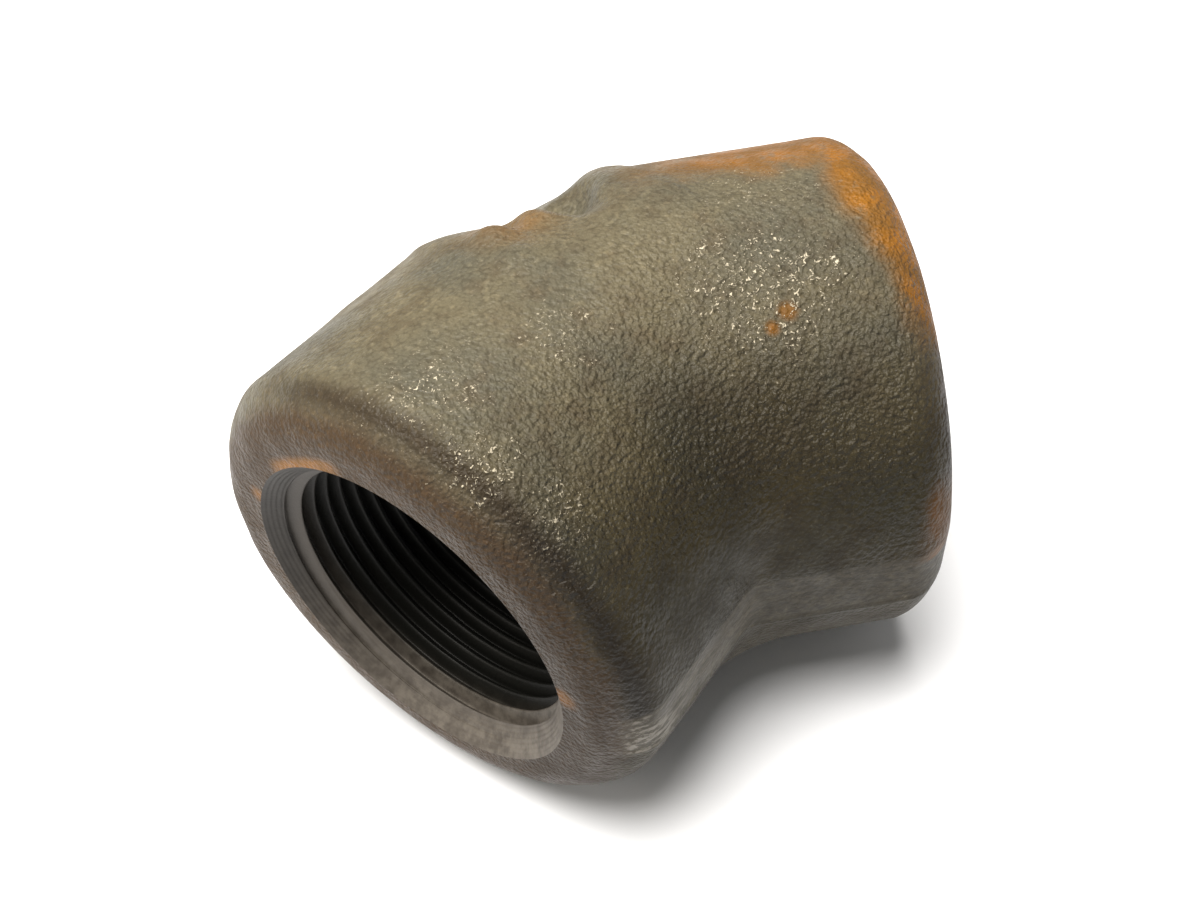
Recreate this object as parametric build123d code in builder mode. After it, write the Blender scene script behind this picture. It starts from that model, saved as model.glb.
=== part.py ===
"""Forty-five degree elbow for screwed steel pipe, one closed-die forging with two tapped ports.

The origin lies in the face of port A, on its axis. +X runs from that face into the fitting, the two
port axes cross in the XY plane, and port B turns away towards -Y. The fitting lies on its side, +Z up.
"""

import os
from math import cos, radians, sin, tan

from build123d import *

# Millimetres and degrees
bend_angle = 45.0
centre_to_face_a = 37.3
centre_to_face_b = 37.5

# Bands: the thick collars that carry the threads
band_radius = 31.2
rim_round_a = 7.0
rim_round_b = 6.5

# Behind, a band rounds off over a crown and drops into the neck at the shoulder's slope
shoulder_start_a = 30.0
crown_radius_a = 10.0
shoulder_slope_a = 35.0
shoulder_start_b = 33.4
crown_radius_b = 3.0
shoulder_slope_b = 60.0
shoulder_drop = 6.0
crook_fillet = 4.0

# Neck: the lower round saddle that crosses the bend as a chord, set in towards the crook
neck_radius = 29.2
neck_set_in = 2.6
neck_length = 23.0

# Flats left along the parting plane, where the flash was trimmed off
flash_trim_a = 0.7
flash_trim_b = 0.9
flash_trim_neck = 0.4

# Ports: 1 1/4 inch taper pipe thread, tapped in a plain hole with a countersunk mouth
countersink_radius = 22.4
countersink_angle = 45.0
tapping_radius = 19.05
tapping_depth = 24.0

# Waterway: drilled from both faces until the two holes meet
waterway_radius = 17.5
drill_point_angle = 59.0

os.makedirs("parts", exist_ok=True)

turn = radians(bend_angle)
shoulder_reach = neck_radius * tan(turn / 2)
crossing = Vector(centre_to_face_a, 0, 0)
out_of_b = Vector(cos(turn), -sin(turn), 0)
along_chord = Vector(cos(turn / 2), -sin(turn / 2), 0)
towards_crook = Vector(-sin(turn / 2), -cos(turn / 2), 0)

# Each port has its own frame: x runs from the face into the fitting, z is up
port_a = Plane(origin=(0, 0, 0), x_dir=(1, 0, 0), z_dir=(0, 0, 1))
port_b = Plane(origin=crossing + out_of_b * centre_to_face_b, x_dir=out_of_b * -1, z_dir=(0, 0, 1))


def port_axis(port):
    """The axis of a port, pointing into the fitting."""
    return Axis(port.origin, port.x_dir)


def band_profile(radius, rim_round, shoulder_start, crown_radius, slope):
    """Half the section of a band: flat face, rounded rim, cylinder and the shoulder behind it."""
    lean = radians(slope)
    crown_end = Vector(shoulder_start + crown_radius * sin(lean), radius - crown_radius * (1 - cos(lean)))
    foot = crown_end + Vector(shoulder_drop / tan(lean), -shoulder_drop)
    with BuildSketch() as profile:
        with BuildLine():
            Line((0, 0), (0, radius - rim_round))
            RadiusArc((0, radius - rim_round), (rim_round, radius), rim_round)
            Line((rim_round, radius), (shoulder_start, radius))
            RadiusArc((shoulder_start, radius), crown_end, crown_radius)
            Line(crown_end, foot)
            Line(foot, (foot.X, 0))
            Line((foot.X, 0), (0, 0))
        make_face()
    return profile.sketch


def turned(port, profile):
    """A solid turned about a port's axis."""
    with BuildPart() as made:
        with BuildSketch(port):
            add(profile)
        revolve(axis=port_axis(port))
    return made.part


def band_trim(port, half_width, length):
    """The upright slab between the two flats that the trimming leaves on a band."""
    with BuildPart() as made:
        with BuildSketch(port):
            Rectangle(length, 2 * half_width, align=(Align.MIN, Align.CENTER))
        extrude(amount=band_radius, both=True)
    return made.part


def neck(radius):
    """The saddle: a round bar on the chord of the bend."""
    with BuildPart() as made:
        with BuildSketch(Plane(origin=crossing + towards_crook * neck_set_in, z_dir=along_chord)):
            Circle(radius)
        extrude(amount=neck_length / 2, both=True)
    return made.part


def neck_trim(half_width):
    """The upright slab that the trimming leaves of the neck."""
    chord = Plane(origin=crossing + towards_crook * neck_set_in, x_dir=along_chord, z_dir=(0, 0, 1))
    with BuildPart() as made:
        with BuildSketch(chord):
            Rectangle(neck_length, 2 * half_width)
        extrude(amount=band_radius, both=True)
    return made.part


def bore_profile(centre_to_face):
    """Half the section of a machined port: countersink, tapping hole, waterway and drill point."""
    countersink_depth = (countersink_radius - tapping_radius) / tan(radians(countersink_angle))
    point_length = waterway_radius / tan(radians(drill_point_angle))
    with BuildSketch() as profile:
        with BuildLine():
            Polyline(
                (0, 0),
                (0, countersink_radius),
                (countersink_depth, tapping_radius),
                (tapping_depth, tapping_radius),
                (tapping_depth, waterway_radius),
                (centre_to_face, waterway_radius),
                (centre_to_face + point_length, 0),
                (0, 0),
            )
        make_face()
    return profile.sketch


# Everything that stays after the flash is trimmed off
with BuildPart() as trimmed_outline:
    add(band_trim(port_a, band_radius - flash_trim_a, centre_to_face_a + shoulder_reach))
    add(band_trim(port_b, band_radius - flash_trim_b, centre_to_face_b + shoulder_reach))
    add(neck_trim(neck_radius - flash_trim_neck))

profile_a = band_profile(band_radius, rim_round_a, shoulder_start_a, crown_radius_a, shoulder_slope_a)
profile_b = band_profile(band_radius, rim_round_b, shoulder_start_b, crown_radius_b, shoulder_slope_b)

with BuildPart() as elbow_body:
    add(turned(port_a, profile_a))
    add(turned(port_b, profile_b))
    crook_seam = elbow_body.edges(Select.NEW).sort_by(Axis.Y)[:2]
    fillet(crook_seam, radius=crook_fillet)
    add(neck(neck_radius))
    add(trimmed_outline.part, mode=Mode.INTERSECT)
    add(turned(port_a, bore_profile(centre_to_face_a)), mode=Mode.SUBTRACT)
    add(turned(port_b, bore_profile(centre_to_face_b)), mode=Mode.SUBTRACT)

elbow_body.part.label = "elbow_body"
export_step(elbow_body.part, "parts/elbow_body.step")
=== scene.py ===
"""Looks of a forged forty-five degree pipe elbow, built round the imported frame.

Shapes are worked out in millimetres in the frame of the CAD model and turned into metres on the way out:
the origin lies in the face of port A, +X runs into the fitting, port B turns away towards -Y, +Z is up.
"""

import bpy
import numpy as np
from mathutils import Matrix, Vector


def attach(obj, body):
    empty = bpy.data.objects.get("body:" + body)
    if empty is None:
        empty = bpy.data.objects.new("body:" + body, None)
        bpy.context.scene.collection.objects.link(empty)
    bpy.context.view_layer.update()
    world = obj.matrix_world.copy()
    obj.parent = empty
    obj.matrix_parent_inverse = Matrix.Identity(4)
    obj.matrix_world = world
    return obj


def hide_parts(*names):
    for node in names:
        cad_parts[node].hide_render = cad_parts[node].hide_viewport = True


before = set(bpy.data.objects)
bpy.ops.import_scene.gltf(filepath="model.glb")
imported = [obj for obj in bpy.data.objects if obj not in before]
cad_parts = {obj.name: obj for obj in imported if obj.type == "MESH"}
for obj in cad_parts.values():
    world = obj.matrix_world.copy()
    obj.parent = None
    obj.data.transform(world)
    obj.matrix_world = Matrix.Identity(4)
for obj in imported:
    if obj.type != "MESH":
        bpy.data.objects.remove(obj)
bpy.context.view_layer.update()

MM = 0.001
TURN = np.radians(45.0)
CENTRE_TO_FACE = {"a": 37.3, "b": 37.5}
CROSSING = np.array([CENTRE_TO_FACE["a"], 0.0, 0.0])
UP = np.array([0.0, 0.0, 1.0])
# Each port: its face, the way in, and the side that looks away from the crook
INWARD = {"a": np.array([1.0, 0.0, 0.0]), "b": np.array([-np.cos(TURN), np.sin(TURN), 0.0])}
BACK = {"a": np.array([0.0, 1.0, 0.0]), "b": np.array([np.sin(TURN), np.cos(TURN), 0.0])}
FACE = {port: CROSSING - INWARD[port] * CENTRE_TO_FACE[port] for port in "ab"}

# Bands: half width, half height above and below the parting plane, taper behind the rim
BAND_HALF_WIDTH = {"a": 31.7, "b": 31.2}
BAND_UPPER = {"a": 31.4, "b": 30.9}
BAND_LOWER = {"a": 30.2, "b": 30.6}
BAND_TAPER = {"a": 0.022, "b": 0.006}
RIM_DEEP = {"a": 6.0, "b": 5.8}
RIM_ACROSS = {"a": 6.8, "b": 6.0}
RIM_COVE = {"a": 0.55, "b": 0.2}
# The flats left by trimming look a little downwards from the parting plane
FLAT_HALF_HEIGHT = {"a": 3.6, "b": 4.2}
FLAT_LEAN = {"a": np.radians(3.2), "b": np.radians(4.6)}
SHOULDER_START = {"a": 30.0, "b": 32.4}
SHOULDER_CROWN = {"a": 9.0, "b": 4.0}
SHOULDER_SLOPE = {"a": 32.0, "b": 48.0}
NECK_RADIUS = 29.2
NECK_SET_IN = 2.4
NECK_HALF_LENGTH = 12.0

COUNTERSINK = 22.4
TAPPING_RADIUS = 19.05
TAPPING_DEPTH = 24.0
WATERWAY = 17.5
DRILL_POINT = np.tan(np.radians(59.0))
THREAD_PITCH = 25.4 / 11.5
THREAD_HEIGHT = 1.767
THREAD_MINOR = 19.226
THREAD_TAPER = 1 / 32
THREAD_END = 20.0


CHORD = np.array([np.cos(TURN / 2), -np.sin(TURN / 2), 0.0])
TO_CROOK = np.array([-np.sin(TURN / 2), -np.cos(TURN / 2), 0.0])
MITRE_OVERLAP = 3.0


# ---------------------------------------------------------------- small maths
def smooth(x, low, high):
    """A soft step from 0 at low to 1 at high."""
    s = np.clip((x - low) / (high - low), 0.0, 1.0)
    return s * s * (3 - 2 * s)


def soft_min(a, b, k):
    h = np.maximum(k - np.abs(a - b), 0.0) / k
    return np.minimum(a, b) - h * h * k * 0.25


def soft_max(a, b, k):
    return -soft_min(-a, -b, k)


def lattice(ix, iy, iz, seed):
    """A repeatable random number from 0 to 1 for each corner of a cubic lattice."""
    h = ix * 374761393 + iy * 668265263 + iz * 2147483647 + seed * 974634777
    h = (h ^ (h >> 13)) * 1274126177
    h = h ^ (h >> 16)
    return (h & 0xFFFFFF) / float(0xFFFFFF)


def noise(points, size, seed=0, octaves=1):
    """Value noise from -1 to 1 with features of the given size."""
    total = np.zeros(len(points))
    weight = 1.0
    norm = 0.0
    for octave in range(octaves):
        q = points / size * 2.0**octave + 57.31 * octave
        base = np.floor(q).astype(np.int64)
        f = q - base
        f = f * f * f * (f * (f * 6 - 15) + 10)
        value = np.zeros(len(points))
        for dx in (0, 1):
            for dy in (0, 1):
                for dz in (0, 1):
                    share = (
                        (f[:, 0] if dx else 1 - f[:, 0])
                        * (f[:, 1] if dy else 1 - f[:, 1])
                        * (f[:, 2] if dz else 1 - f[:, 2])
                    )
                    value += share * lattice(base[:, 0] + dx, base[:, 1] + dy, base[:, 2] + dz, seed + octave)
        total += weight * (2 * value - 1)
        norm += weight
        weight *= 0.5
    return total / norm


# ---------------------------------------------------------------- the forging's outer form
def in_port(points, port):
    """Depth behind a port's face, reach to the back and height."""
    rel = points - FACE[port]
    return rel @ INWARD[port], rel @ BACK[port], points[:, 2]


def oval(back, height, port):
    """How far the oval section of a band lies from its axis in a direction."""
    reach = np.hypot(back, height) + 1e-9
    half_height = np.where(height > 0, BAND_UPPER[port], BAND_LOWER[port])
    grade = np.sqrt((back / BAND_HALF_WIDTH[port]) ** 2 + (height / half_height) ** 2)
    return reach / grade


def shoulder_drop(depth, port):
    """How far the outline has fallen behind a band: a crown and then a slope."""
    lean = np.radians(SHOULDER_SLOPE[port])
    crown = SHOULDER_CROWN[port]
    run = np.maximum(depth - SHOULDER_START[port], 0.0)
    arc_end = crown * np.sin(lean)
    on_arc = crown - np.sqrt(np.maximum(crown**2 - np.minimum(run, arc_end) ** 2, 0.0))
    return on_arc + np.maximum(run - arc_end, 0.0) * np.tan(lean)


def band_field(points, port):
    """Roughly the distance outside a band, with its trimmed flats and the shoulder on its back side."""
    depth, back, height = in_port(points, port)
    reach = np.hypot(back, height) + 1e-9
    facing_back = smooth(back / reach, -0.25, 0.55)
    drop = np.minimum(shoulder_drop(depth, port), 9.0) * facing_back
    taper = BAND_TAPER[port] * np.maximum(depth - RIM_DEEP[port], 0.0)
    round_part = reach - oval(back, height, port) + taper + drop
    lean = FLAT_LEAN[port]
    flat_reach = BAND_HALF_WIDTH[port] - FLAT_HALF_HEIGHT[port] ** 2 / (2 * BAND_HALF_WIDTH[port])
    flat_part = np.abs(back) * np.cos(lean) - height * np.sin(lean) - flat_reach + taper + drop
    past_mitre = (points - CROSSING) @ CHORD * (1.0 if port == "a" else -1.0) - MITRE_OVERLAP
    return soft_max(soft_max(round_part, flat_part, 0.12), past_mitre, 2.0)


def neck_field(points):
    rel = points - (CROSSING + TO_CROOK * NECK_SET_IN)
    along = rel @ CHORD
    reach = np.hypot(rel @ TO_CROOK, rel[:, 2])
    return soft_max(reach - NECK_RADIUS, np.abs(along) - NECK_HALF_LENGTH, 1.0)


def skin_field(points):
    crook_side = smooth((points - CROSSING) @ TO_CROOK, -4.0, 26.0)
    # Sharp along the parting plane, where the two trimmed flats meet, and softer above and below it
    seam = 0.5 + crook_side * (0.3 + 5.2 * smooth(np.abs(points[:, 2] + 2.0), 4.0, 15.0))
    bands = soft_min(band_field(points, "a"), band_field(points, "b"), seam)
    return soft_min(bands, neck_field(points), 3.2)


def cast(field, centres, directions, low, high, steps=34):
    """The distance along each ray where a field crosses from inside to outside."""
    near = np.full(len(centres), low)
    far = np.full(len(centres), high)
    for _ in range(steps):
        middle = (near + far) / 2
        outside = field(centres + directions * middle[:, None]) > 0
        far = np.where(outside, middle, far)
        near = np.where(outside, near, middle)
    return (near + far) / 2


# ---------------------------------------------------------------- grids of rays through the bend
PIVOT_REACH = 40.0
PIVOT = CROSSING + TO_CROOK * PIVOT_REACH
AXIS_REACH = PIVOT_REACH * np.cos(TURN / 2)
BEND_START = {port: CENTRE_TO_FACE[port] - PIVOT_REACH * np.sin(TURN / 2) for port in "ab"}


def stations(start_a, start_b, step, bend_rows):
    """Centres and back directions of the section planes from port A round the bend to port B."""
    rows = []
    count = int(np.ceil((BEND_START["a"] - start_a) / step))
    for depth in np.linspace(start_a, BEND_START["a"], count, endpoint=False):
        rows.append((FACE["a"] + INWARD["a"] * depth, BACK["a"]))
    for turned in np.linspace(0, TURN, bend_rows):
        back = np.array([np.sin(turned), np.cos(turned), 0.0])
        rows.append((PIVOT + back * AXIS_REACH, back))
    count = int(np.ceil((BEND_START["b"] - start_b) / step))
    for depth in np.linspace(BEND_START["b"], start_b, count + 1)[1:]:
        rows.append((FACE["b"] + INWARD["b"] * depth, BACK["b"]))
    return rows


def grid_mesh(name, grid, closed=True):
    """A mesh from a grid of rows and columns of points in millimetres; columns run round and close."""
    rows, columns = grid.shape[:2]
    index = np.arange(rows * columns).reshape(rows, columns)
    right = np.roll(index, -1, axis=1)
    if not closed:
        index, right = index[:, :-1], right[:, :-1]
    quads = np.stack([index[:-1], right[:-1], right[1:], index[1:]], axis=-1).reshape(-1, 4)
    mesh = bpy.data.meshes.new(name)
    points = grid.reshape(-1, 3) * MM
    mesh.vertices.add(len(points))
    mesh.vertices.foreach_set("co", points.astype(np.float32).ravel())
    mesh.loops.add(quads.size)
    mesh.loops.foreach_set("vertex_index", quads.astype(np.int32).ravel())
    mesh.polygons.add(len(quads))
    mesh.polygons.foreach_set("loop_start", np.arange(0, quads.size, 4, dtype=np.int32))
    mesh.polygons.foreach_set("use_smooth", np.ones(len(quads), dtype=bool))
    mesh.update(calc_edges=True)
    mesh.validate()
    piece = bpy.data.objects.new(name, mesh)
    bpy.context.collection.objects.link(piece)
    return piece


def grid_normals(grid, outward_from):
    """Unit normals of a closed grid, turned to look away from a set of inner points."""
    around = np.roll(grid, -1, axis=1) - np.roll(grid, 1, axis=1)
    along = np.gradient(grid, axis=0)
    normal = np.cross(around, along)
    normal /= np.linalg.norm(normal, axis=-1, keepdims=True) + 1e-12
    flip = np.sign(((grid - outward_from) * normal).sum(-1, keepdims=True))
    return normal * np.where(flip == 0, 1, flip)


def attribute(piece, name, values):
    layer = piece.data.attributes.new(name, "FLOAT", "POINT")
    layer.data.foreach_set("value", np.clip(values, 0.0, 1.0).astype(np.float32).ravel())


# ---------------------------------------------------------------- skin
def column_angles(fine, coarse):
    """Angles round a section from the back over the top; closer together where the fitting shows."""
    top = np.linspace(np.radians(-15), np.radians(205), fine, endpoint=False)
    bottom = np.linspace(np.radians(205), np.radians(345), coarse, endpoint=False)
    return np.concatenate([top, bottom])


ANGLES = column_angles(336, 64)
RIM_ROWS = 20
FACE_ROWS = 5
BODY_STEP = 0.36
BEND_ROWS = 92


def section_points(centre, back, angles, reach):
    return centre + np.outer(np.cos(angles) * reach, back) + np.outer(np.sin(angles) * reach, UP)


def rim_rows(port):
    """Rows from the countersink's edge over the flat face and round the rim, up to the plain band."""
    centre = FACE[port]
    ray = np.stack([np.cos(ANGLES), np.sin(ANGLES)], axis=-1)
    outer = cast(
        lambda q: band_field(q, port),
        np.repeat((centre + INWARD[port] * RIM_DEEP[port])[None], len(ANGLES), axis=0),
        ray[:, :1] * BACK[port] + ray[:, 1:] * UP,
        20.0,
        40.0,
    )
    flat_edge = outer - RIM_ACROSS[port]
    rows = []
    for share in np.linspace(0, 1, FACE_ROWS, endpoint=False):
        reach = COUNTERSINK + (flat_edge - COUNTERSINK) * share
        rows.append(section_points(centre, BACK[port], ANGLES, reach))
    for turned in np.linspace(0, np.pi / 2, RIM_ROWS, endpoint=False):
        depth = RIM_DEEP[port] * (1 - np.cos(turned))
        reach = outer - RIM_ACROSS[port] * (1 - np.sin(turned))
        reach = reach - RIM_COVE[port] * np.sin(turned * 2) ** 2
        rows.append(section_points(centre + INWARD[port] * depth, BACK[port], ANGLES, reach))
    return np.array(rows)


def body_rows(field, start_a, start_b, angles, low, high, step, bend_rows):
    plan = stations(start_a, start_b, step, bend_rows)
    centres = np.repeat(np.array([c for c, _ in plan]), len(angles), axis=0)
    backs = np.repeat(np.array([b for _, b in plan]), len(angles), axis=0)
    turned = np.tile(angles, len(plan))
    rays = backs * np.cos(turned)[:, None] + UP * np.sin(turned)[:, None]
    reach = cast(field, centres, rays, low, high)
    points = centres + rays * reach[:, None]
    spine = centres.reshape(len(plan), len(angles), 3)
    return points.reshape(len(plan), len(angles), 3), spine


body, spine = body_rows(skin_field, RIM_DEEP["a"], RIM_DEEP["b"], ANGLES, 18.0, 44.0, BODY_STEP, BEND_ROWS)
front = rim_rows("a")
rear = rim_rows("b")[::-1]
skin_grid = np.concatenate([front, body, rear])
inner = np.concatenate(
    [
        np.broadcast_to(FACE["a"] + INWARD["a"] * 14.0, front.shape),
        spine,
        np.broadcast_to(FACE["b"] + INWARD["b"] * 14.0, rear.shape),
    ]
)
normals = grid_normals(skin_grid, inner)
flat = skin_grid.reshape(-1, 3)
flat_normals = normals.reshape(-1, 3)

depth_a, back_a, height_a = in_port(flat, "a")
depth_b, back_b, height_b = in_port(flat, "b")
on_b = smooth(depth_a - depth_b, -2.0, 2.0)
angle_a = np.degrees(np.arctan2(height_a, back_a))
angle_b = np.degrees(np.arctan2(height_b, back_b))


def spot(x, y, z, radius, soft=1.0):
    """1 at a point of the surface, falling off smoothly to 0 at the given distance in millimetres."""
    away = np.linalg.norm(flat - np.array([x, y, z]), axis=1)
    return 1 - smooth(away, radius * (1 - soft), radius)


def near(port, depth, angle, radius, soft=1.0, reach=31.0):
    """The same, for a point given by its depth behind a port's face and its angle round the axis."""
    turned = np.radians(angle)
    x, y, z = (
        FACE[port] + INWARD[port] * depth + (BACK[port] * np.cos(turned) + UP * np.sin(turned)) * reach
    )
    return spot(x, y, z, radius, soft)


def flat_mask(depth, back, height, port):
    middle = -BAND_HALF_WIDTH[port] * np.sin(FLAT_LEAN[port])
    beside = np.abs(height - middle) + 0.25 * noise(flat, 3.0, 41, 2)
    return (1 - smooth(beside, FLAT_HALF_HEIGHT[port] - 0.3, FLAT_HALF_HEIGHT[port] + 0.3)) * smooth(depth, 0.6, 3.0)


trim = flat_mask(depth_a, back_a, height_a, "a") * (1 - on_b) + flat_mask(depth_b, back_b, height_b, "b") * on_b

pebble = 0.45 + 0.3 * noise(flat, 22.0, 3, 2)
pebble += 0.75 * spot(38, -30, 20, 30) + 0.6 * spot(22, -22, 24, 20) + 0.4 * near("a", 8, 125, 20)
pebble = np.clip(pebble, 0.2, 1.0)
pebble *= 1 - 0.85 * trim
pebble *= 1 - 0.6 * near("a", 16, 160, 16) * (1 - on_b)
pebble *= 1 - 0.7 * near("b", 20, 165, 16)

lumps = 0.13 * noise(flat, 11.0, 11, 2) + 0.06 * noise(flat, 4.2, 12, 2)
grain = 0.05 * noise(flat, 1.2, 21, 2) * pebble
face_zone = np.maximum(1 - smooth(depth_a, 0.0, 1.2), 1 - smooth(depth_b, 0.0, 1.2))
# The trimming left a low burr along the lower edge of each flat
burr = np.zeros(len(flat))
for port, depth, height, side in (("a", depth_a, height_a, 1 - on_b), ("b", depth_b, height_b, on_b)):
    line = -BAND_HALF_WIDTH[port] * np.sin(FLAT_LEAN[port]) - FLAT_HALF_HEIGHT[port] - 0.2
    burr += 0.22 * np.exp(-(((height - line) / 0.45) ** 2)) * side * smooth(depth, 1.0, 3.5)
# The hump and the hollow that the dies left in the saddle between the bands
saddle = 1.0 * spot(33.1, 9.5, 29.4, 4.0) + 1.5 * spot(40.2, 8.0, 27.2, 5.4) + 0.6 * spot(30.0, 3.6, 31.0, 4.0)
saddle -= 0.7 * spot(36.0, 10.4, 28.0, 3.4) + 2.8 * spot(44.2, 7.0, 25.8, 6.2) + 1.2 * spot(43.8, 2.6, 28.6, 4.0)
saddle -= 1.5 * spot(41.0, 14.0, 21.0, 8.0)
offset = (lumps * (1 - 0.7 * trim) + grain) * (1 - 0.75 * face_zone) + burr + saddle
edge_hold = np.ones(skin_grid.shape[:2])
edge_hold[0] = edge_hold[-1] = 0.0
edge_hold[1] = edge_hold[-2] = 0.5
offset *= edge_hold.ravel()
flat = flat + flat_normals * offset[:, None]
skin_grid = flat.reshape(skin_grid.shape)

skin = grid_mesh("elbow_skin", skin_grid)
wander = noise(flat, 7.0, 31, 3)
rust_rim = (1 - smooth(depth_b + 1.2 * wander + 3.0 * smooth(angle_b, 92, 120), 3.6, 9.6)) * smooth(angle_b, 30, 60)
rust_rim *= 1 - 0.96 * smooth(angle_b + 8 * wander, 120, 138) * (1 - 0.8 * smooth(np.abs(angle_b), 158, 170))
patches = 0.5 + 0.9 * noise(flat, 13.0, 61, 3)
rust_back = on_b * (1 - smooth(angle_b + 9 * wander, 66, 80)) * (0.35 + 0.65 * smooth(angle_b, 20, 58))
rust_back *= (1 - smooth(depth_b + 6 * wander, 16, 38)) * smooth(angle_b, -70, -20)
rust_back *= np.clip(patches + 0.7 * smooth(angle_b, 40, 64), 0, 1)
beside_mouth = np.hypot(back_a, height_a) - COUNTERSINK + 0.6 * wander
rust_mouth = (1 - smooth(beside_mouth, 0.5, 2.0)) * (1 - smooth(depth_a, 0.4, 1.4))
rust_mouth *= smooth(angle_a + 9 * wander, 40, 52) * (1 - smooth(angle_a + 9 * wander, 66, 80))
rust_mouth = np.maximum.reduce(
    [0.75 * rust_mouth, 0.5 * near("a", 0, 22, 2.0, 0.9, 22.6), 0.7 * near("a", 0, 172, 2.2, 0.9, 23.2)]
)
rust_foot = near("b", 3.5, 168, 7.0, 0.8) * (1 - smooth(depth_b + wander, 2.5, 5.5))
rust_spots = np.maximum.reduce([near("b", 17, 118, 1.6), near("b", 19, 121, 1.2), 0.3 * near("a", 36, 72, 9)])
attribute(skin, "rust", np.maximum.reduce([rust_rim, 0.6 * rust_back, rust_mouth, rust_spots, 0.8 * rust_foot]))
away_from_crook = smooth(np.where(on_b > 0.5, back_b, back_a), -6, 6)
attribute(skin, "trim", trim * (1 - 0.6 * away_from_crook))
scrape = trim * np.maximum(near("a", 3, -172, 10, 0.8), 0.0)
attribute(skin, "scrape", np.maximum(scrape, 0.7 * near("a", 2.5, 184, 4.5)))
attribute(skin, "pebble", pebble)
# Painted highlights: places where the bright cream specks of the scale gather
glint = np.maximum.reduce(
    [
        near("b", 20, 112, 16),
        0.9 * near("b", 13, 110, 9),
        0.9 * near("a", 5.5, 112, 8),
        0.8 * near("a", 7, 128, 8),
        0.6 * near("a", 9, 95, 12),
        0.6 * near("a", 24, 106, 9),
        0.5 * near("b", 16, 84, 14),
    ]
)
attribute(skin, "glint", glint)
# Partly patina, partly painted shade: a dark brown band round the rim of port A, dark enough to stand for the shade
# in the rim's cove, and a weaker dark patch on band B
rim_band = np.exp(-(((depth_a - 3.3 - 0.5 * wander) / 1.5) ** 2)) * smooth(angle_a, 45, 75)
attribute(skin, "umber_and_rim_shade", np.maximum.reduce([1.0 * rim_band, 0.35 * near("b", 24, 140, 14)]))
ring = np.maximum(1 - smooth(depth_a + 0.8 * wander, 1.0, 3.0), 1 - smooth(depth_b + 0.8 * wander, 0.6, 2.2))
attribute(skin, "ring", ring)
# Painted shade: the crook side, from just past the top round to the underside, is darkened in the colour; less so on
# port A's face ring, the rust at B's foot and the trimmed flats
turned_on = angle_a * (1 - on_b) + angle_b * on_b
turned_on = np.where(turned_on < -75, turned_on + 360, turned_on)
shaded = turned_on + 10 * noise(flat, 18.0, 51, 2)
shaded = smooth(shaded, 94, 148) * (1 - smooth(shaded, 205, 275))
attribute(skin, "painted_crook_shade", shaded * (1 - ring * (0.4 - 0.35 * on_b)) * (1 - 0.2 * rust_foot) * (1 - trim * (0.75 - 0.4 * on_b)))
attribute(skin, "slate", np.maximum(near("a", 16, 160, 15), near("b", 10, 158, 12)))

# ---------------------------------------------------------------- threaded ports
THREAD_COLUMNS = 256
ROWS_PER_PITCH = 16


def thread_reach(depth, turned, port):
    """Distance of the port's wall from its axis: countersink, taper thread running out, tapping hole."""
    hand = 1.0 if port == "a" else -1.0
    phase = depth / THREAD_PITCH - hand * turned / (2 * np.pi) + 0.5
    ridge = 1 - np.abs(2 * (phase - np.floor(phase)) - 1)
    groove = np.clip((ridge - 0.06) / 0.88, 0.0, 1.0) * (1 - smooth(depth, THREAD_END - 3.0, THREAD_END + 1.0))
    threaded = THREAD_MINOR - THREAD_TAPER * depth + THREAD_HEIGHT * groove
    wall = np.maximum(threaded, TAPPING_RADIUS)
    ripple = 0.03 * np.sin(depth * 2 * np.pi / 0.42) * (1 - smooth(depth, 2.6, 3.2)) * smooth(depth, 0.0, 0.4)
    cone = COUNTERSINK - depth + ripple
    return np.maximum(wall, cone)


def port_mesh(port):
    turned = np.linspace(0, 2 * np.pi, THREAD_COLUMNS, endpoint=False)
    depths = np.concatenate(
        [
            np.linspace(0.0, 3.6, 48, endpoint=False),
            np.arange(3.6, THREAD_END + 1.2, THREAD_PITCH / ROWS_PER_PITCH),
            [TAPPING_DEPTH - 0.1, TAPPING_DEPTH],
        ]
    )
    rows = [section_points(FACE[port] + INWARD[port] * 0.06, BACK[port], turned, np.full(THREAD_COLUMNS, 22.6))]
    for depth in depths:
        reach = thread_reach(depth, turned, port)
        rows.append(section_points(FACE[port] + INWARD[port] * depth, BACK[port], turned, reach))
    last = np.full(THREAD_COLUMNS, WATERWAY)
    rows.append(section_points(FACE[port] + INWARD[port] * (TAPPING_DEPTH + 0.05), BACK[port], turned, last + 0.3))
    rows.append(section_points(FACE[port] + INWARD[port] * (TAPPING_DEPTH + 0.35), BACK[port], turned, last))
    grid = np.array(rows)[::-1]
    piece = grid_mesh("port_%s_thread" % port, grid)
    inside = in_port(grid.reshape(-1, 3), port)[0]
    # Painted shade: the wall fades to near black from 3.4 to 7 mm inside the port
    attribute(piece, "painted_depth_shade", smooth(inside, 3.4, 7.0))
    # Painted shade: the mouth is darkened round its back and upper side and keeps its full colour towards the crook
    # side and underneath
    around = np.degrees(np.arctan2(grid[..., 2].ravel(), (grid.reshape(-1, 3) - FACE[port]) @ BACK[port]))
    attribute(piece, "painted_mouth_light", 1 - 0.85 * (1 - smooth(np.abs((around - 30 + 180) % 360 - 180), 45, 130)))
    # Painted highlight: the colour about 3 mm inside, on the first thread crests, is pulled to a mid grey
    attribute(piece, "painted_crest_highlight", np.exp(-(((inside - 3.0) / 0.7) ** 2)))
    return piece


threads = [port_mesh("a"), port_mesh("b")]

# ---------------------------------------------------------------- waterway
WATER_ANGLES = np.linspace(0, 2 * np.pi, 128, endpoint=False)
WATER_ROWS = 40
WATER_START = TAPPING_DEPTH + 0.35


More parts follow.
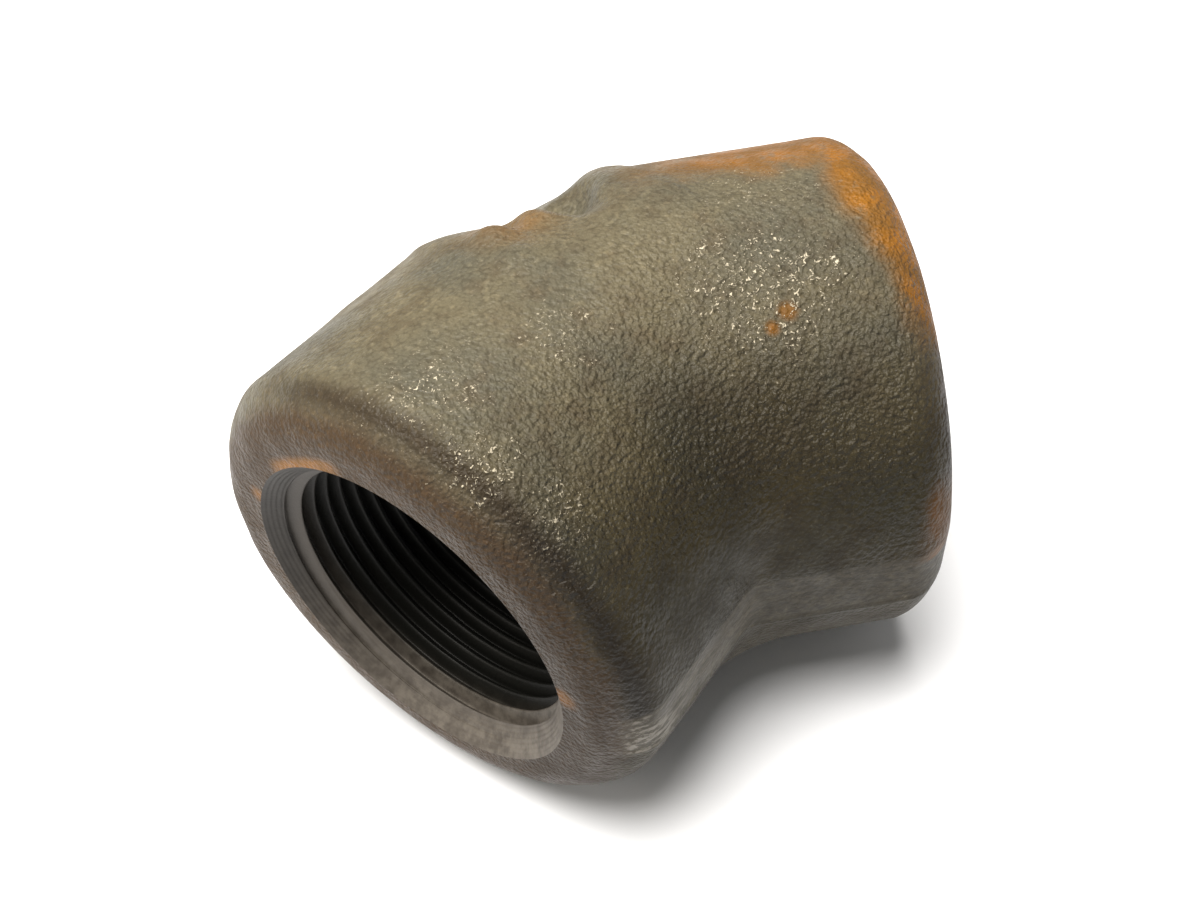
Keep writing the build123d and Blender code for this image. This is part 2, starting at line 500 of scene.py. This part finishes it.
def waterway_rows(port):
    """Rows from the end of the tapping hole along the drilled wall and drill point up to the mitre."""
    tilt = np.tan(TURN / 2)
    back = np.cos(WATER_ANGLES)
    past = WATERWAY * back * tilt
    past = np.where(past > 0, WATERWAY * back * tilt / (1 + DRILL_POINT * back * tilt), past)
    rows = []
    for share in np.linspace(0, 1, WATER_ROWS):
        depth = WATER_START + (CENTRE_TO_FACE[port] + past - WATER_START) * share
        reach = WATERWAY - np.maximum(depth - CENTRE_TO_FACE[port], 0.0) * DRILL_POINT
        centres = FACE[port] + np.outer(depth, INWARD[port])
        rows.append(centres + np.outer(back * reach, BACK[port]) + np.outer(np.sin(WATER_ANGLES) * reach, UP))
    return rows


waterway = grid_mesh("waterway", np.array(waterway_rows("b") + waterway_rows("a")[-2::-1]))


# ---------------------------------------------------------------- materials
class Nodes:
    """Short names for building one node tree."""

    def __init__(self, name):
        self.material = bpy.data.materials.new(name)
        self.material.use_nodes = True
        self.tree = self.material.node_tree
        self.shader = self.tree.nodes["Principled BSDF"]
        coords = self.tree.nodes.new("ShaderNodeTexCoord")
        scale = self.tree.nodes.new("ShaderNodeMapping")
        scale.inputs["Scale"].default_value = (1000, 1000, 1000)
        self.tree.links.new(coords.outputs["Object"], scale.inputs["Vector"])
        self.mm = scale.outputs[0]

    def link(self, source, target):
        if isinstance(source, (int, float)):
            target.default_value = source
        elif isinstance(source, tuple):
            target.default_value = source if len(source) == len(target.default_value) else (*source, 1.0)
        else:
            self.tree.links.new(source, target)

    def stretched(self, x, y, z):
        node = self.tree.nodes.new("ShaderNodeMapping")
        node.inputs["Scale"].default_value = (x, y, z)
        self.link(self.mm, node.inputs["Vector"])
        return node.outputs[0]

    def noise(self, size, detail=2.0, rough=0.5, vector=None, distortion=0.0):
        node = self.tree.nodes.new("ShaderNodeTexNoise")
        node.inputs["Scale"].default_value = 1.0 / size
        node.inputs["Detail"].default_value = detail
        node.inputs["Roughness"].default_value = rough
        node.inputs["Distortion"].default_value = distortion
        self.link(vector or self.mm, node.inputs["Vector"])
        return node.outputs["Fac"]

    def cells(self, size, feature="F1", randomness=1.0):
        node = self.tree.nodes.new("ShaderNodeTexVoronoi")
        node.feature = feature
        node.inputs["Scale"].default_value = 1.0 / size
        node.inputs["Randomness"].default_value = randomness
        self.link(self.mm, node.inputs["Vector"])
        return node.outputs["Distance"]

    def math(self, kind, a, b=0.0, clamp=False):
        node = self.tree.nodes.new("ShaderNodeMath")
        node.operation = kind
        node.use_clamp = clamp
        self.link(a, node.inputs[0])
        self.link(b, node.inputs[1])
        return node.outputs[0]

    def step(self, value, low, high, to_low=0.0, to_high=1.0):
        node = self.tree.nodes.new("ShaderNodeMapRange")
        node.interpolation_type = "SMOOTHSTEP"
        self.link(value, node.inputs["Value"])
        node.inputs["From Min"].default_value = low
        node.inputs["From Max"].default_value = high
        node.inputs["To Min"].default_value = to_low
        node.inputs["To Max"].default_value = to_high
        return node.outputs["Result"]

    def mix(self, fac, a, b, blend="MIX"):
        node = self.tree.nodes.new("ShaderNodeMix")
        node.data_type = "RGBA"
        node.blend_type = blend
        self.link(fac, node.inputs[0])
        self.link(a, node.inputs[6])
        self.link(b, node.inputs[7])
        return node.outputs[2]

    def attribute(self, name):
        node = self.tree.nodes.new("ShaderNodeAttribute")
        node.attribute_name = name
        return node.outputs["Fac"]

    def bump(self, height, distance, strength=1.0, normal=None):
        node = self.tree.nodes.new("ShaderNodeBump")
        node.inputs["Distance"].default_value = distance * MM
        self.link(strength, node.inputs["Strength"])
        self.link(height, node.inputs["Height"])
        if normal is not None:
            self.link(normal, node.inputs["Normal"])
        return node.outputs[0]

    def set(self, **sockets):
        for name, value in sockets.items():
            self.link(value, self.shader.inputs[name.replace("_", " ")])
        return self.material


def forge_scale():
    n = Nodes("forge_scale")
    rust = n.attribute("rust")
    trim = n.attribute("trim")
    pebble = n.attribute("pebble")
    glint = n.attribute("glint")
    broad = n.noise(14.0, 3.0)
    mottle = n.noise(4.0, 4.0, 0.6)
    grain = n.noise(0.62, 1.2, 0.4)
    fine = n.noise(0.26, 1.0, 0.5)
    cells = n.cells(0.55)
    colour = n.mix(n.step(broad, 0.35, 0.68), (0.112, 0.096, 0.059), (0.080, 0.074, 0.052))
    colour = n.mix(n.step(mottle, 0.45, 0.72, 0.0, 0.5), colour, (0.058, 0.041, 0.022))
    # Dark brown round port A's rim, partly patina and partly painted shade
    colour = n.mix(n.math("MULTIPLY", n.attribute("umber_and_rim_shade"), 0.92), colour, (0.027, 0.018, 0.009))
    colour = n.mix(n.math("MULTIPLY", n.attribute("slate"), 0.3), colour, (0.050, 0.053, 0.044))
    streaks = n.noise(1.0, 4.0, 0.65, n.stretched(0.35, 1.0, 1.6))
    bare = n.mix(n.step(streaks, 0.35, 0.65), (0.032, 0.027, 0.018), (0.092, 0.079, 0.056))
    colour = n.mix(n.math("MULTIPLY", trim, 0.85), colour, bare)
    colour = n.mix(n.math("MULTIPLY", n.attribute("ring"), 0.9), colour, (0.040, 0.021, 0.008))
    # Painted shade in the hollows between the domes of the relief
    colour = n.mix(n.step(cells, 0.45, 0.80, 0.0, 0.32), colour, (0.024, 0.018, 0.010))
    colour = n.mix(n.step(n.noise(0.9, 1.0), 0.55, 0.75, 0.0, 0.35), colour, n.mix(1.0, colour, (1.9, 1.85, 1.8), "MULTIPLY"))
    rusty = n.mix(n.step(mottle, 0.35, 0.65), (0.225, 0.091, 0.009), (0.145, 0.068, 0.013))
    rust_mask = n.math("MULTIPLY", n.math("MULTIPLY", rust, 1.8), n.step(n.noise(2.0, 5.0, 0.75), 0.25, 0.60, 0.2, 1.0), True)
    colour = n.mix(rust_mask, colour, rusty)
    # Painted shade: the crook side is multiplied darker where this attribute is high
    dark = n.mix(1.0, colour, (0.215, 0.190, 0.120), "MULTIPLY")
    colour = n.mix(n.attribute("painted_crook_shade"), colour, dark)
    scraped = n.math("MULTIPLY", n.attribute("scrape"), n.step(streaks, 0.46, 0.62), True)
    colour = n.mix(n.math("MULTIPLY", scraped, 0.8), colour, (0.20, 0.185, 0.16))
    # Painted highlights: bright cream specks, gathered where the glint attribute is high and fewer in the painted
    # shade of the crook side; they also lift the relief a little
    glint_dots = n.step(n.noise(0.32, 2.0, 0.6, None, 0.5), 0.62, 0.68)
    glint_flakes = n.step(n.noise(0.62, 3.0, 0.6, None, 0.8), 0.60, 0.64)
    glint_cluster = n.math("ADD", n.math("MULTIPLY", glint, 0.55), n.noise(2.0, 4.0, 0.75))
    painted_glints = n.math("MULTIPLY", glint_dots, n.step(glint_cluster, 0.60, 0.92, 0.07, 0.9))
    glint_flakes = n.math("MULTIPLY", glint_flakes, n.step(glint_cluster, 0.78, 0.90))
    painted_glints = n.math("MAXIMUM", painted_glints, glint_flakes)
    painted_glints = n.math("MULTIPLY", painted_glints, n.math("SUBTRACT", 1.0, n.math("MULTIPLY", n.attribute("painted_crook_shade"), 0.6)))
    colour = n.mix(painted_glints, colour, (0.55, 0.49, 0.37))
    domes = n.math("SUBTRACT", 1.0, cells)
    height = n.math("ADD", grain, n.math("MULTIPLY", fine, 0.25))
    height = n.math("ADD", height, n.math("MULTIPLY", domes, 0.22))
    height = n.math("ADD", height, n.math("MULTIPLY", painted_glints, 0.25))
    relief = n.bump(height, 0.62, n.step(pebble, 0.0, 1.0, 0.15, 1.0))
    roughness = n.step(mottle, 0.3, 0.7, 0.42, 0.60)
    n.set(Base_Color=colour, Roughness=roughness, Normal=relief, Metallic=0.0)
    return n.set(**{"Specular IOR Level": 0.18})


def machined():
    n = Nodes("machined_thread")
    turned = n.noise(1.6, 4.0, 0.6)
    colour = n.mix(n.step(turned, 0.3, 0.7), (0.056, 0.047, 0.038), (0.118, 0.103, 0.085))
    # Painted shade round the back and top of the mouth
    colour = n.mix(n.attribute("painted_mouth_light"), (0.014, 0.012, 0.010), colour)
    # Painted highlight on the first thread crests
    colour = n.mix(n.math("MULTIPLY", n.attribute("painted_crest_highlight"), 0.7), colour, (0.075, 0.066, 0.057))
    # Painted shade: near black deep in the port
    colour = n.mix(n.attribute("painted_depth_shade"), colour, (0.005, 0.005, 0.004))
    relief = n.bump(n.noise(0.5, 3.0, 0.6), 0.06, 0.6)
    n.set(Base_Color=colour, Roughness=0.5, Normal=relief, Metallic=0.0)
    return n.set(**{"Specular IOR Level": 0.2})


def drilled():
    n = Nodes("drilled_waterway")
    # Painted shade: the drilled wall is given a nearly black colour for the dark inside the bore
    colour = n.mix(n.step(n.noise(3.0, 4.0, 0.6), 0.3, 0.7), (0.010, 0.009, 0.008), (0.018, 0.016, 0.014))
    return n.set(Base_Color=colour, Roughness=0.6, Normal=n.bump(n.noise(0.8, 3.0), 0.1, 0.6), Metallic=0.0)


skin.data.materials.append(forge_scale())
thread_finish = machined()
for piece in threads:
    piece.data.materials.append(thread_finish)
waterway.data.materials.append(drilled())
for piece in [skin, waterway] + threads:
    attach(piece, "root")
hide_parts("elbow_body")

# ---------------------------------------------------------------- floor
FLOOR_HALF = 4.0
floor_level = float(flat[:, 2].min()) * MM
floor_mesh = bpy.data.meshes.new("floor")
floor_mesh.from_pydata(
    [
        (-FLOOR_HALF, -FLOOR_HALF, floor_level),
        (FLOOR_HALF, -FLOOR_HALF, floor_level),
        (FLOOR_HALF, FLOOR_HALF, floor_level),
        (-FLOOR_HALF, FLOOR_HALF, floor_level),
    ],
    [],
    [(0, 1, 2, 3)],
)
floor = bpy.data.objects.new("floor", floor_mesh)
bpy.context.collection.objects.link(floor)
paper = bpy.data.materials.new("white_paper")
paper.use_nodes = True
paper.node_tree.nodes["Principled BSDF"].inputs["Base Color"].default_value = (0.82, 0.84, 0.88, 1)
paper.node_tree.nodes["Principled BSDF"].inputs["Roughness"].default_value = 0.8
floor.data.materials.append(paper)

# ---------------------------------------------------------------- camera
CAMERA_AZIMUTH = -49.871
CAMERA_ELEVATION = 46.420
CAMERA_ROLL = -5.649
CAMERA_DISTANCE = 191.448
FOCAL_PIXELS = 1502.14
FRAME_WIDTH = 1200
SHIFT_PIXELS = (-2.317, -31.167)
azimuth, elevation, roll = np.radians([CAMERA_AZIMUTH, CAMERA_ELEVATION, CAMERA_ROLL])
towards = np.array(
    [np.sin(azimuth) * np.cos(elevation), -np.cos(azimuth) * np.cos(elevation), np.sin(elevation)]
)
right = np.cross(-towards, UP)
right /= np.linalg.norm(right)
over = np.cross(right, -towards)
right, over = (
    np.cos(roll) * right + np.sin(roll) * over,
    -np.sin(roll) * right + np.cos(roll) * over,
)
eye = (CROSSING + towards * CAMERA_DISTANCE) * MM
camera_data = bpy.data.cameras.new("camera")
camera = bpy.data.objects.new("camera", camera_data)
bpy.context.collection.objects.link(camera)
pose = Matrix((right.tolist(), over.tolist(), towards.tolist())).transposed().to_4x4()
pose.translation = Vector(eye.tolist())
camera.matrix_world = pose
camera_data.sensor_width = 36.0
camera_data.lens = FOCAL_PIXELS * 36.0 / FRAME_WIDTH
camera_data.shift_x = -SHIFT_PIXELS[0] / FRAME_WIDTH
camera_data.shift_y = SHIFT_PIXELS[1] / FRAME_WIDTH
camera_data.clip_start = 0.01
bpy.context.scene.camera = camera


# ---------------------------------------------------------------- light
def area_light(name, place, aim, size, power, colour=(1, 1, 1)):
    data = bpy.data.lights.new(name, "AREA")
    data.shape = "DISK"
    data.size = size
    data.energy = power
    data.color = colour
    lamp = bpy.data.objects.new(name, data)
    bpy.context.collection.objects.link(lamp)
    lamp.location = place
    lamp.rotation_euler = (Vector(aim) - Vector(place)).to_track_quat("-Z", "Y").to_euler()
    return lamp


area_light("key", (-0.12, 0.07, 0.92), (0.03, 0.0, 0.0), 0.70, 23.0, (1.0, 0.96, 0.90))
area_light("side", (-0.62, 0.48, 0.34), (0.03, 0.0, 0.0), 0.40, 1.8, (1.0, 0.93, 0.82))
world = bpy.data.worlds.new("world")
world.use_nodes = True
background = world.node_tree.nodes["Background"]
background.inputs["Color"].default_value = (1.0, 0.97, 0.92, 1)
background.inputs["Strength"].default_value = 0.28
bpy.context.scene.world = world
bpy.context.scene.view_settings.view_transform = "Standard"
